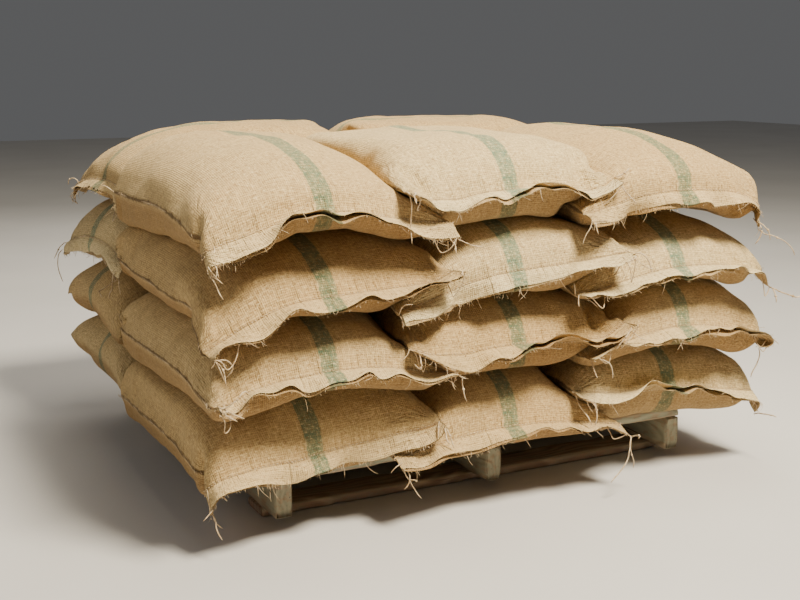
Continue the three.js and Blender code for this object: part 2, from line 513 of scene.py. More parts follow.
# how far the corners of each sack's outer end stand above its seam: over a neighbour or under it
def earHeights(table, facts):
    right, left = np.zeros((2, len(table)))
    rng = np.random.default_rng(sack["seed"] + 3)
    for n, row in enumerate(table):
        overLeft, overRight = (facts[name][n, 0, 0] > 0 for name in ("leanLeft", "leanRight"))
        climb = sack["earClimb"] * rng.uniform(0.8, 1.15)
        tuck = -sack["earTuck"] * rng.uniform(0.6, 1.2)
        hang = -rng.uniform(0.0, sack["earHang"])
        right[n], left[n] = {
            "front_left": (climb if overLeft else tuck, hang),
            "front_middle": (climb if overRight else tuck, tuck if overLeft else climb),
            "front_right": (hang, tuck if overRight else climb),
        }.get(row["place"], (hang * 0.6, hang * 0.6))
    return right[:, None], left[:, None]


# the height of each sack's outer seam above the layer below, column by column
def outerSeams(table, facts, columns):
    across = acrossBag(columns)[None, :]
    nearEar = np.abs(across) ** 3
    phase = facts["phase"][:, None]
    height = [row["seamHeight"] + (0 if row["mouthOut"] else sack["closedHigher"]) for row in table]
    tilt, arch = (np.array([row[key] for row in table])[:, None] for key in ("tilt", "arch"))
    earRight, earLeft = earHeights(table, facts)
    ears = nearEar * np.where(across > 0, earRight, earLeft)
    seam = np.array(height)[:, None] + tilt * across + ears
    wavy = np.sin(across * 7 + phase) + np.sin(across * 12 - phase)
    wavy = wavy + 0.8 * np.sin(across * 19 + 3 * phase)
    return seam + (sack["seamWave"] * wavy + arch * (1 - across ** 2 * 1.6)) * (1 - nearEar)


# which sacks have a side seam in sight, its column and height, and how firmly it is held there
def freeSides(table, facts, rows, columns):
    freeSide = np.array([row["freeSide"] for row in table])
    atSide = np.nonzero(freeSide)[0]
    column = np.where(freeSide > 0, 0, columns // 2)[atSide]
    share = np.arange(rows + 1) / rows
    toMouth = [share if row["mouthOut"] else 1 - share for row in table]
    hold = solver["sidePull"] * (1 - smooth(np.stack(toMouth), 0.72, 1.0))[atSide]
    phase = facts["phase"][atSide][:, None]
    sway = np.sin(7.5 * share + 1.7 * phase) + 0.6 * np.sin(17 * share + 2.9 * phase)
    return atSide, column, sack["sideHeight"] + sack["seamSway"] * sway, hold


# the filling presses outward, and the cloth, the neighbours and the layers press back, step by step
def settle(p, table, facts, cells, rows, alongRest, roundRest, steps, closeFrom):
    previous = p.copy()
    targetVolume = np.array([row["volume"] for row in table], dtype=np.float32)
    isFlap = (np.arange(p.shape[2]) > rows)[None, :, None]
    bottom = column3([load["deckTop"] + load["pitch"] * row["layer"] for row in table])
    index = np.arange(len(table))
    outerRow = np.array([rows if row["mouthOut"] else 0 for row in table])
    wantedSeam = outerSeams(table, facts, p.shape[3])
    atSide, sideColumn, sideHeight, sideHold = freeSides(table, facts, rows, p.shape[3])
    pressure = np.zeros(len(table), dtype=np.float32)
    cellArea = float(alongRest[0, 0].mean() * roundRest[0, 0].mean())
    for step in range(steps):
        closing = min(1, closeFrom + step / (0.55 * steps))
        volume = np.maximum(tubeVolume(p, rows), 0.01)
        pressure = np.clip(pressure + (targetVolume / volume - 1) * 0.1, 0, 1.5)
        fromTop = np.clip((bottom + load["pitch"] - p[2]) / load["pitch"], 0, 1.2)
        head = 1 + solver["head"] * fromTop
        push = clothNormals(p) * (pressure[:, None, None] * head * (solver["pressure"] / cellArea))
        push[:, :, rows:] = 0
        move = (p - previous) * solver["damping"]
        previous = p.copy()
        p = p + np.clip(move + push, -solver["maxMove"], solver["maxMove"])
        p[2] -= solver["weight"]
        # the outer seam keeps near its height
        x, y, z = p[:, index, outerRow]
        surface = layerSurface(facts["layer"][:, :, 0], x, y, cells)
        p[2, index, outerRow] = z + (surface + wantedSeam - z) * solver["seamPull"]
        # and so does the free side seam
        x, y, z = p[:, atSide, :rows + 1, sideColumn].transpose(1, 0, 2)
        surface = layerSurface(facts["layerIndex"][atSide][:, None], x, y, cells)
        p[2, atSide, :rows + 1, sideColumn] += (surface + sideHeight - z) * sideHold
        for _ in range(solver["passes"]):
            relaxCloth(p, alongRest, roundRest)
            sewSeams(p, rows)
        stiffenCloth(p, alongRest, roundRest)
        steerFlap(p, rows, facts)
        p = keepInPlace(p, previous, facts, cells, closing, isFlap)
    return p


# the cloth's own lengths: uneven weaving, and the seams' thread gathers them a little
def restLengths(table, rows, flapRows, columns):
    total = rows + flapRows
    along = np.zeros((len(table), total, columns), dtype=np.float32)
    roundRest = np.zeros((len(table), total + 1, columns), dtype=np.float32)
    rng = np.random.default_rng(sack["seed"] + 2)
    u = np.arange(columns) / columns * 2 * np.pi
    v = np.linspace(0, 1, total + 1)[:, None]
    for n, row in enumerate(table):
        uneven = np.zeros((total + 1, columns))
        for _ in range(10):
            a, b = rng.integers(1, 6), rng.uniform(2, 14)
            c, d = rng.uniform(0, 6.28), rng.uniform(0, 6.28)
            uneven += np.sin(a * u[None, :] + c) * np.sin(b * v + d)
        uneven = 1 + sack["uneven"] * uneven
        along[n, :rows] = row["length"] / rows
        along[n, rows:] = sack["flap"] / flapRows
        along[n] *= uneven[:-1]
        roundRest[n] = 2 * row["width"] / columns * (2 - uneven)
        for k in (0, rows):
            roundRest[n, k] *= sack["gather"]
        for k in range(1, flapRows + 1):
            roundRest[n, rows + k] *= 1.015 + 0.045 * k / flapRows
        for column in (0, columns // 2):
            along[n, :rows, column] *= sack["gather"]
    return along, roundRest


# twice as many points each way, on smooth curves through the old ones
def refine(p, rows, flapRows):
    def between(before, a, b, after):
        return (9 * (a + b) - before - after) / 16

    body, flap = p[:, :, :rows + 1], p[:, :, rows:]
    wide = np.empty(body.shape[:2] + (2 * rows + 1, body.shape[3]), dtype=np.float32)
    pad = np.concatenate([2 * body[:, :, :1] - body[:, :, 1:2], body,
                          2 * body[:, :, -1:] - body[:, :, -2:-1]], axis=2)
    wide[:, :, 0::2] = body
    wide[:, :, 1::2] = between(pad[:, :, :-3], pad[:, :, 1:-2], pad[:, :, 2:-1], pad[:, :, 3:])
    shares = [(n + 1) / flapRows for n in range(flapRows)]
    outer = np.stack([flap[:, :, 0] * (1 - t) + flap[:, :, -1] * t for t in shares], axis=2)
    wide = np.concatenate([wide, outer], axis=2)
    full = np.empty(wide.shape[:3] + (2 * wide.shape[3],), dtype=np.float32)
    full[..., 0::2] = wide
    full[..., 1::2] = between(*(np.roll(wide, shift, 3) for shift in (1, 0, -1, -2)))
    return full


def makeCloth():
    cells = readCells()
    table = sackTable(cells)
    fineSteps = solver["fineSteps"]
    p = None
    for label, divisor, flapRows, steps, closeFrom in (
        ("coarse", 2, 2, solver["coarseSteps"], 0),
        ("fine", 1, sack["flapRows"], fineSteps, 1),
    ):
        rows, columns = sack["rows"] // divisor, sack["columns"] // divisor
        facts = factArrays(table, columns)
        along, roundRest = restLengths(table, rows, flapRows, columns)
        p = laidFlat(table, rows, columns, along) if p is None else refine(p, rows // 2, flapRows)
        p = settle(p, table, facts, cells, rows, along, roundRest, steps, closeFrom)
        volume = tubeVolume(p, rows)
        print(f"{label} cloth settled, volumes {volume.min():.4f} to {volume.max():.4f}, "
              f"{time.time() - startTime:.0f} s")
    return p + np.array([*palletMiddle(), 0], dtype=np.float32)[:, None, None, None], table


def newMesh(name, vertices, faces, material):
    mesh = bpy.data.meshes.new(name)
    mesh.from_pydata(vertices, [], faces)
    mesh.materials.append(material)
    mesh.shade_smooth()
    mesh.update()
    obj = bpy.data.objects.new(name, mesh)
    bpy.context.scene.collection.objects.link(obj)
    return obj


# one number for each point or edge, or the same for all
def setAttribute(obj, name, values, domain="POINT"):
    made = obj.data.attributes.new(name, "FLOAT", domain)
    made.data.foreach_set("value", np.full(len(made.data), values, dtype=np.float32))


# small sharp crumples, in which both layers of the flap bend together
def crumpleFlap(points, number):
    rows, flapRows, half = sack["rows"], sack["flapRows"], sack["columns"] // 2
    rng = np.random.default_rng(800 + number)
    top = np.arange(1, half)
    low = sack["columns"] - top
    bend = np.zeros(half - 1)
    for _ in range(int(rng.integers(5, 10))):
        middle, reach = rng.uniform(0.04, 0.96) * half, rng.uniform(1.0, 2.6)
        height = rng.choice([-1, 1]) * rng.uniform(0.35, 1.0) * sack["crumple"]
        bend += height * np.clip(1 - np.abs(top - middle) / reach, 0, 1)
    normals = sackNormals(points)
    for k in range(1, flapRows + 1):
        apart = unit(normals[:, rows + k, top] - normals[:, rows + k, low])
        push = apart * bend * (k / flapRows) ** 0.8
        points[:, rows + k, top] += push
        points[:, rows + k, low] += push


# the rim is cut unevenly, and here and there one of its two layers is shorter than the other
def trimRim(points, number):
    columns, last = sack["columns"], sack["rows"] + sack["flapRows"]
    half = columns // 2
    rng = np.random.default_rng(700 + number)
    j = np.arange(columns)
    t = np.where(j <= half, j, columns - j) / half
    short = np.zeros(columns)
    for isUnder in (False, True):
        layer = np.full(columns, rng.uniform(0.0, 0.25))
        for _ in range(4):
            layer += rng.uniform(0.0, 0.16) * np.sin(rng.uniform(8, 55) * t + rng.uniform(0, 6.28))
        for _ in range(2):
            notch = rng.uniform(0.0, 0.65)
            layer += notch * np.exp(-((t - rng.uniform(0.1, 0.9)) / rng.uniform(0.05, 0.16)) ** 2)
        short = np.where((j > half) == isUnder, layer, short)
    short = np.clip(short, 0, 0.8) * (1 - np.abs(1 - 2 * t) ** 8)
    points[:, last] += (points[:, last - 1] - points[:, last]) * short


# the flap lies outside the sack's underside, and its two layers on their own sides of each other
def partLayers(points):
    rows, columns = sack["rows"], sack["columns"]
    top = np.arange(1, columns // 2)
    low = columns - top
    normals = sackNormals(points)
    body, bodyNormals = points[:, rows - 6:rows, low], normals[:, rows - 6:rows, low]
    for k in range(rows + 1, points.shape[1]):
        away = points[:, k, low][:, None] - body
        nearest = (away ** 2).sum(axis=0).argmin(axis=0)
        depth = (away * bodyNormals).sum(axis=0)[nearest, top - 1]
        push = bodyNormals[:, nearest, top - 1] * np.clip(2 * sack["cloth"] - depth, 0, 0.015)
        points[:, k, low] += push
        points[:, k, top] += push
        apart = unit(normals[:, k, top] - normals[:, k, low])
        gap = ((points[:, k, top] - points[:, k, low]) * apart).sum(axis=0)
        push = apart * np.maximum(2.5 * sack["cloth"] - gap, 0) / 2
        points[:, k, top] += push
        points[:, k, low] -= push


# how far a sack's cloth stands out: lumps of filling, folds at the corners, pleats at the mouth
def clothRelief(points, row, number):
    rows, columns = sack["rows"], sack["columns"]
    rng = np.random.default_rng(300 + number)
    relief = np.zeros(points.shape[1:])
    for _ in range(16):
        wave = rng.normal(0, 1, 3)
        wave *= 2 * math.pi / rng.uniform(*sack["lumpLength"]) / np.linalg.norm(wave)
        relief += np.sin(np.tensordot(wave, points, 1) + rng.uniform(0, 6.28)) / 4 * sack["lumps"]
    v = np.linspace(0, row["length"], rows + 1)[:, None]
    u = (acrossBag(columns) * row["width"] / 2)[None, :]
    under = (np.arange(columns) > columns // 2)[None, :]
    cloth = relief[:rows + 1]
    for cornerV in (0, row["length"]):
        for cornerU in (-row["width"] / 2, row["width"] / 2):
            radius = np.hypot(u - cornerU, v - cornerV)
            angle = np.arctan2(np.abs(v - cornerV), np.abs(u - cornerU))
            fold = np.sin(rng.uniform(8, 13) * angle + rng.uniform(0, 6.28) + 1.3 * under)
            fade = smooth(radius, 0.008, 0.05) * np.exp(-radius / sack["foldReach"])
            cloth += fold * fade * sack["folds"]
    fromMouth = row["length"] - v
    fade = np.exp(-fromMouth / sack["pleatReach"]) * sack["pleats"]
    for _ in range(4):
        width = rng.uniform(*sack["pleatWidth"])
        cloth += np.sin(2 * math.pi * u / width + rng.uniform(0, 6.28) + 2 * under) * fade
    # a deep fold or two run in from the mouth on top
    for _ in range(int(rng.integers(1, 4))):
        start = rng.choice([-1, 1]) * rng.uniform(0.45, 0.90) * row["width"] / 2
        away = (u - start - fromMouth * rng.uniform(-0.7, 0.7)) / rng.uniform(*sack["deepWidth"])
        valley = 0.55 * np.exp(-(away / 2.2) ** 2) - np.exp(-away ** 2)
        reach = np.exp(-(fromMouth / rng.uniform(*sack["deepReach"])) ** 2)
        reach = reach * smooth(fromMouth, 0, 0.03)
        cloth += valley * reach * rng.uniform(*sack["deepFold"]) * ~under
    relief[rows - 1:] = 0
    relief[0] = 0
    return relief


# the closed skin of one sack: out along the cloth to the flap's rim, and back inside to the sewing
def sackSkin(name, points, row, number, material, node):
    rows, flapRows, columns = sack["rows"], sack["flapRows"], sack["columns"]
    half, last = columns // 2, rows + flapRows
    normals = sackNormals(points)
    seamed = points.copy()
    freeColumn = {1: 0, -1: half}.get(row["freeSide"])
    for column in (0, half):
        height = sack["crest" if column == freeColumn else "ridge"]
        out = normals[:, 1:rows + 1, column] * height
        seamed[:, 1:rows + 1, column] += out
        if column == freeColumn:
            for beside in (column - 1, column + 1):
                seamed[:, 1:rows + 1, beside % columns] += out * sack["crestBeside"]
    seamed += normals * clothRelief(points, row, number)
    top = np.arange(half + 1)
    seams = [0.5 * (seamed[:, k, top] + seamed[:, k, -top % columns]) for k in (0, rows)]
    outside = [seamed[:, k] for k in range(1, last + 1)]
    inside = [seamed[:, k] - normals[:, k] * sack["cloth"] for k in range(last, rows, -1)]
    rings = [seams[0], *outside, *inside, seams[1]]
    sizes = [ring.shape[1] for ring in rings]
    starts = np.concatenate([[0], np.cumsum(sizes)])
    along = np.concatenate([np.linspace(0, row["length"], rows + 1),
                            row["length"] + sack["flap"] * np.arange(1, flapRows + 1) / flapRows])
    along = np.concatenate([along, 2 * along[-1] - along[rows:][::-1] + 0.002])
    across = acrossBag(columns)
    j = np.arange(columns)

    def index(k, column):
        column = column % columns
        return starts[k] + (column if sizes[k] == columns else np.minimum(column, columns - column))

    def onRings(values):
        return np.concatenate([values[:size] for size in sizes])

    faces, uvs = [], []
    u = across * row["width"] / 2
    for k in range(len(rings) - 1):
        corners = (index(k, j), index(k, j + 1), index(k + 1, j + 1), index(k + 1, j))
        faces.append(np.stack(corners, axis=1))
        low, high = np.full(columns, along[k]), np.full(columns, along[k + 1])
        corners = ((u, low), (np.roll(u, -1), low), (np.roll(u, -1), high), (u, high))
        uvs.append(np.stack([np.stack(corner, axis=1) for corner in corners], axis=1))
    vertices = np.concatenate(rings, axis=1).T
    obj = newMesh(name, vertices.tolist(), np.concatenate(faces).tolist(), material)
    layer = obj.data.uv_layers.new(name="clothMetres")
    layer.data.foreach_set("uv", np.concatenate(uvs).reshape(-1).astype(np.float32))

    flapShare = np.repeat(np.clip((along - row["length"]) / sack["flap"], 0, 1), sizes)
    flapShare[starts[-2]:] = 0.2
    nearMouth = np.exp(-np.abs(along - row["length"]) / 0.055)
    nearEnds = np.maximum(nearMouth, 0.3 * np.exp(-along / 0.045))
    nearSide = 0.7 * np.exp(-(1 - np.abs(onRings(across))) * row["width"] / 2 / 0.030)
    setAttribute(obj, "flapShare", flapShare)
    setAttribute(obj, "nearSeam", np.maximum(np.repeat(nearEnds, sizes), nearSide))
    # where the painted shade of the undersides goes
    setAttribute(obj, "underside", onRings(j > half))
    setAttribute(obj, "sackTone", np.random.default_rng(100 + number).uniform())
    setAttribute(obj, "halfWidth", row["width"] / 2)
    setAttribute(obj, "sackLength", row["length"])

    edges = np.zeros(2 * len(obj.data.edges), dtype=np.int32)
    obj.data.edges.foreach_get("vertices", edges)
    onSewing, onSide = np.zeros((2, starts[-1]), dtype=bool)
    onSewing[starts[rows]:starts[rows + 1]] = True
    if freeColumn is not None:
        onSide[starts[1:rows + 1] + freeColumn] = True
    edges = edges.reshape(-1, 2)
    sharp = onSewing[edges].all(axis=1) | onSide[edges].all(axis=1)
    setAttribute(obj, "crease_edge", sack["crease"] * sharp, "EDGE")
    smoother = obj.modifiers.new("smoother", "SUBSURF")
    smoother.levels = smoother.render_levels = 1
    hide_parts(node)
    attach(obj, "root")
    return obj


# thread and what has frayed: radii, and lengths from and to
sewing = {
    "stitch": 0.00115,
    "sideStitch": 0.0008,
    "loose": (0.0011, 0.0019),
    "looseLength": (0.03, 0.09),
    "longLength": (0.10, 0.17),     # of about one loose end in seven
    "loop": 0.0013,
    "loopSag": (0.02, 0.05),
    "fibres": 120,                  # at each mouth
    "fibre": 0.0005,
    "fibreLength": (0.003, 0.009),
    "strand": 0.0006,
    "strandLength": (0.015, 0.045),
    "floor": 0.004,                 # nothing hangs lower, or further out than the next two
    "endX": 0.812,
    "endY": 0.774,
}


# faces between rings of points that follow each other, and over the first and the last
def tubeFaces(start, rings, perRing, isClosed=True):
    faces = []
    last = start + (rings - 1) * perRing
    for ring in range(start, last, perRing):
        for n in range(perRing):
            a, b = ring + n, ring + (n + 1) % perRing
            faces.append((a, b, b + perRing, a + perRing))
    if isClosed:
        faces.append(tuple(reversed(range(start, start + perRing))))
        faces.append(tuple(range(last, last + perRing)))
    return faces


# thin round threads through lists of points, half as thick at their ends
class Threads:
    def __init__(self):
        self.vertices, self.faces = [], []

    def add(self, points, radius, sides=4):
        points = [Vector(point) for point in points]
        start = len(self.vertices)
        last = len(points) - 1
        reference = Vector((0.31, 0.52, 0.79))
        for n, point in enumerate(points):
            along = (points[min(n + 1, last)] - points[max(n - 1, 0)]).normalized()
            across = along.cross(reference).normalized()
            other = along.cross(across)
            size = radius * (0.5 if n in (0, last) else 1)
            for side in range(sides):
                angle = 2 * math.pi * side / sides
                around = across * math.cos(angle) + other * math.sin(angle)
                self.vertices.append(point + around * size)
        self.faces += tubeFaces(start, last + 1, sides)


def keptIn(point):
    x = max(-sewing["endX"], min(sewing["endX"], point.x))
    y = max(-sewing["endY"], min(sewing["endY"], point.y))
    return Vector((x, y, max(point.z, sewing["floor"])))


def hangingThread(rng, start, heading, length, outward):
    points, direction = [Vector(start)], Vector(heading).normalized()
    steps = max(5, int(length / 0.009))
    curl = Vector(rng.normal(0, 1, 3)).normalized()
    for _ in range(steps):
        curl = (curl + Vector(rng.normal(0, 0.5, 3))).normalized()
        direction = direction + curl * 0.42 + Vector((0, 0, -0.24)) + Vector(outward) * 0.02
        direction = direction.normalized()
        points.append(keptIn(points[-1] + direction * (length / steps)))
    return points


def loopThread(rng, start, end, sag, outward):
    start, end = Vector(start), Vector(end)
    bulge = Vector((0, 0, -sag)) + Vector(outward) * sag * float(rng.uniform(0.1, 0.6))
    wander = Vector(rng.normal(0, 0.004, 3))
    points = []
    for n in range(13):
        share = n / 12
        lean = share ** 1.4
        point = start.lerp(end, share) + bulge * (4 * lean * (1 - lean))
        points.append(keptIn(point + wander * math.sin(9 * share)))
    return points


# the sewing across the mouth, its loose ends, and what has frayed from the rim
def sackThreads(name, points, row, number, material):
    rows, flapRows, columns = sack["rows"], sack["flapRows"], sack["columns"]
    half, rim = columns // 2, rows + flapRows
    rng = np.random.default_rng(500 + number)
    normals = sackNormals(points)
    threads = Threads()
    outward = (*row["outward"], 0)

    # a place on the cloth at a row and between two columns, lifted off it
    def at(k, column, lift):
        whole = math.floor(column)
        t = column - whole
        a, b = whole % columns, (whole + 1) % columns
        point = points[:, k, a] * (1 - t) + points[:, k, b] * t
        normal = normals[:, k, a] * (1 - t) + normals[:, k, b] * t
        return point + normal * lift

    if row["mouthOut"]:
        for n in range(2 * columns):
            column = n * 0.5 + 0.08
            threads.add([at(rows, column, 0.0004), at(rows, column + 0.17, 0.0022),
                         at(rows, column + 0.34, 0.0004)], sewing["stitch"])
    if row["freeSide"]:
        column = 0 if row["freeSide"] > 0 else half
        places = ((-0.22, 0.0070), (0, sack["crest"] + 0.0004), (0.22, 0.0070))
        for k in range(1, rows):
            slant = (at(k + 1, column, 0) - at(k, column, 0)) * 0.18
            for share in (0.0, 0.5):
                a, b, c = (at(k, column + away, lift) * (1 - share)
                           + at(k + 1, column + away, lift) * share for away, lift in places)
                threads.add([a - slant, b, c + slant], sewing["sideStitch"])
    if row["mouthOut"]:
        for column, inward in ((0, 1), (half, -1)):
            for _ in range(int(rng.integers(2, 5))):
                heading = np.array(outward) + rng.normal(0, 0.5, 3)
                limits = sewing["looseLength" if rng.uniform() < 0.85 else "longLength"]
                length = float(rng.uniform(*limits))
                k = rows + int(rng.integers(0, flapRows + 1))
                start = at(k, column + rng.normal(0, 0.6), 0.0005)
                radius = float(rng.uniform(*sewing["loose"]))
                thread = hangingThread(rng, start, heading, length, outward)
                threads.add(thread, radius, 5)
                if rng.uniform() < 0.5:
                    knot = thread[len(thread) // 2]
                    along = (thread[len(thread) // 2 + 1] - knot).normalized() * 0.003
                    knotted = [knot + along * share for share in (-1, -0.4, 0.4, 1)]
                    threads.add(knotted, radius * 2.1, 6)
            if rng.uniform() < 0.6:
                start = at(rim, column + inward * rng.uniform(0.2, 1.5), 0.0)
                k = rows + int(rng.integers(0, 2))
                end = at(k, column + inward * rng.uniform(2.0, 5.0), 0.0005)
                sag = rng.uniform(*sewing["loopSag"])
                threads.add(loopThread(rng, start, end, sag, outward), sewing["loop"], 5)
        for _ in range(sewing["fibres"]):
            column = rng.uniform(0, columns)
            tip, root = at(rim, column, 0), at(rim - 1, column, 0)
            along = unit(tip - root) + rng.normal(0, 0.35, 3)
            isShort = rng.uniform() < 0.93
            length = rng.uniform(*sewing["fibreLength" if isShort else "strandLength"])
            root = tip - along * 0.003
            if isShort:
                bend = rng.normal(0, 0.25, 3)
                middle = tip + along * length * 0.5
                end = middle + (along + bend) * length * 0.5
                threads.add([root, middle, end], sewing["fibre"], 3)
            else:
                threads.add(hangingThread(rng, root, along, length, outward), sewing["strand"], 3)
    obj = newMesh(f"{name}_threads", threads.vertices, threads.faces, material)
    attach(obj, "root")
    return obj


# a node tree in which each call adds one node, or a few, and gives back its result
class Tree:
    def __init__(self, tree):
        self.tree = tree

    def add(self, kind, inputs=None, **settings):
        made = self.tree.nodes.new(kind)
        for key, value in settings.items():
            setattr(made, key, value)
        self.feed(made, inputs or {})
        return made

    # a constant goes straight on the socket
    def feed(self, made, inputs):
        for key, value in inputs.items():
            if isinstance(value, bpy.types.NodeSocket):
                self.tree.links.new(value, made.inputs[key])
            else:
                made.inputs[key].default_value = value

    def math(self, operation, *values):
        return self.add("ShaderNodeMath", dict(enumerate(values)), operation=operation).outputs[0]

    def times(self, first, *others):
        for other in others:
            first = self.math("MULTIPLY", first, other)
        return first

    def plus(self, a, b):
        return self.math("ADD", a, b)

    def minus(self, a, b):
        return self.math("SUBTRACT", a, b)

    def vector(self, operation, a, b):
        return self.add("ShaderNodeVectorMath", {0: a, 1: b}, operation=operation).outputs[0]

    def split(self, vector):
        return self.add("ShaderNodeSeparateXYZ", {0: vector}).outputs

    def join(self, x, y, z):
        return self.add("ShaderNodeCombineXYZ", {0: x, 1: y, 2: z}).outputs[0]

    def noise(self, vector, scale, detail=2.0, roughness=0.5, distortion=0.0, output=0):
        made = self.add("ShaderNodeTexNoise", {"Vector": vector, "Scale": scale, "Detail": detail,
                                               "Roughness": roughness, "Distortion": distortion})
        return made.outputs[output]

    # noise that is finer in one direction than in another
    def stretched(self, vector, factors, *details, output=0):
        return self.noise(self.vector("MULTIPLY", vector, factors), 1.0, *details, output=output)

    def fit(self, value, low, high, newLow=0.0, newHigh=1.0):
        return self.add("ShaderNodeMapRange", {"Value": value, "From Min": low, "From Max": high,
                                               "To Min": newLow, "To Max": newHigh}).outputs[0]

    def choose(self, share, a, b):
        return self.add("ShaderNodeMix", {0: share, 2: a, 3: b}).outputs[0]

    def mix(self, share, a, b, blend="MIX"):
        inputs = {0: share, 6: a, 7: b}
        return self.add("ShaderNodeMix", inputs, data_type="RGBA", blend_type=blend).outputs[2]

    def tint(self, share, color, by):
        return self.mix(share, color, self.mix(1.0, color, by, "MULTIPLY"))

    # colours laid over each other, each with its share
    def layers(self, color, colors, shares):
        for name, share in shares:
            color = self.mix(share, color, colors[name])
        return color

    def attribute(self, name, output="Fac"):
        return self.add("ShaderNodeAttribute", attribute_name=name).outputs[output]

    def place(self):
        return self.add("ShaderNodeTexCoord").outputs["Object"]

    def group(self, group, inputs):
        return self.add("ShaderNodeGroup", inputs, node_tree=group).outputs

    def bump(self, height, strength, distance, under=None):
        inputs = {"Height": height, "Strength": strength, "Distance": distance}
        if under is not None:
            inputs["Normal"] = under
        return self.add("ShaderNodeBump", inputs).outputs[0]


# inputs with None are vectors, all others numbers
def newGroup(name, inputs, outputs):
    group = bpy.data.node_groups.new(name, "ShaderNodeTree")
    for label, value in inputs.items():
        kind = "NodeSocketVector" if value is None else "NodeSocketFloat"
        socket = group.interface.new_socket(name=label, in_out="INPUT", socket_type=kind)
        if value is not None:
            socket.default_value = value
    for label in outputs:
        group.interface.new_socket(name=label, in_out="OUTPUT", socket_type="NodeSocketFloat")
    tree = Tree(group)
    return group, tree, tree.add("NodeGroupInput").outputs, tree.add("NodeGroupOutput")


# plain weave of uneven yarns, on coordinates in metres
def plainWeaveGroup():
    group, t, inside, outside = newGroup("plainWeave", {"Vector": None, "Yarn Pitch": 0.0038},
                                         ["Height", "Yarn Tone", "Gaps"])
    vector, pitch = inside[0], inside[1]
    offset = t.vector("SUBTRACT", t.noise(vector, 34.0, 3.0, 0.6, output="Color"), (0.5, 0.5, 0.5))
    scaled = t.add("ShaderNodeVectorMath", {0: offset, "Scale": 0.0042}, operation="SCALE")
    parts = t.split(t.vector("ADD", vector, scaled.outputs[0]))
    x = t.math("DIVIDE", parts[0], pitch)
    y = t.math("DIVIDE", parts[1], t.times(pitch, 1.12))
    sinX, sinY = (t.math("SINE", t.times(value, math.pi)) for value in (x, y))
    # each yarn is thick and thin, light and dark along its own length
    warpSeed = t.join(t.times(t.math("FLOOR", x), 7.31), t.times(y, 0.11), 3.0)
    weftSeed = t.join(t.times(x, 0.11), t.times(t.math("FLOOR", y), 5.77), 9.0)
    warpTone, weftTone = (t.noise(seed, 1.0, 2.0, 0.6) for seed in (warpSeed, weftSeed))
    warp = t.times(t.math("ABSOLUTE", sinX), t.fit(warpTone, 0.2, 0.8, 0.65, 1.15))
    weft = t.times(t.math("ABSOLUTE", sinY), t.fit(weftTone, 0.2, 0.8, 0.65, 1.15))
    checker = t.times(sinX, sinY)
    warpHeight = t.times(warp, t.fit(checker, -1, 1, 0.25, 1.0))
    weftHeight = t.times(weft, t.fit(checker, -1, 1, 1.0, 0.25))
    height = t.math("MAXIMUM", warpHeight, weftHeight)
    tone = t.choose(t.math("GREATER_THAN", warpHeight, weftHeight), weftTone, warpTone)
    # Gaps is painted shade, darker where the yarns lie low between each other
    t.feed(outside, {0: height, 1: t.fit(tone, 0.25, 0.75), 2: t.fit(height, 0.12, 0.42, 1.0, 0.0)})
    return group


# loose short fibres that catch the light, and dust in blotches
def fuzzAndDustGroup():
    group, t, inside, outside = newGroup("fuzzAndDust", {"Vector": None}, ["Fuzz", "Dust", "Lumps"])
    vector = inside[0]
    fine, coarse = t.noise(vector, 330.0, 3.0, 0.7, 0.6), t.noise(vector, 120.0, 3.0, 0.6)
    blotch, smaller = t.noise(vector, 5.2, 4.0, 0.55, 0.3), t.noise(vector, 17.0, 4.0, 0.6)
    t.feed(outside, {0: t.fit(t.plus(t.times(fine, 0.6), t.times(coarse, 0.4)), 0.38, 0.66),
                     1: t.fit(t.plus(t.times(blotch, 0.6), t.times(smaller, 0.4)), 0.36, 0.64),
                     2: t.noise(vector, 42.0, 2.0, 0.5)})
    return group


# creases that spread from the corners of a sack, on the cloth's own coordinates in metres
def cornerCreaseGroup():
    inputs = {"Vector": None, "Half Width": 0.32, "Length": 0.92, "Seed": 0.0}
    group, t, inside, outside = newGroup("cornerCreases", inputs, ["Height"])
    vector, halfWidth, length, seed = (inside[n] for n in range(4))
    parts = t.split(vector)
    fromSide = t.minus(halfWidth, t.math("ABSOLUTE", parts[0]))
    halfLength = t.times(length, 0.5)
    fromMiddle = t.math("ABSOLUTE", t.minus(parts[1], halfLength))
    fromEnd = t.math("ABSOLUTE", t.minus(fromMiddle, halfLength))
    angle = t.math("ARCTAN2", fromEnd, fromSide)
    radius = t.math("SQRT", t.plus(t.times(fromSide, fromSide), t.times(fromEnd, fromEnd)))
    corner = t.plus(t.times(t.math("SIGN", parts[0]), 3.1), t.times(seed, 37.0))
    folds = t.noise(t.join(t.times(angle, 4.2), t.times(radius, 9.0), corner), 1.6)
    sharp = t.math("ABSOLUTE", t.minus(folds, 0.5))
    fade = t.times(t.fit(radius, 0.0, 0.03), t.fit(radius, 0.05, 0.26, 1.0, 0.0))
    t.feed(outside, {0: t.times(sharp, 2.5, fade)})
    return group


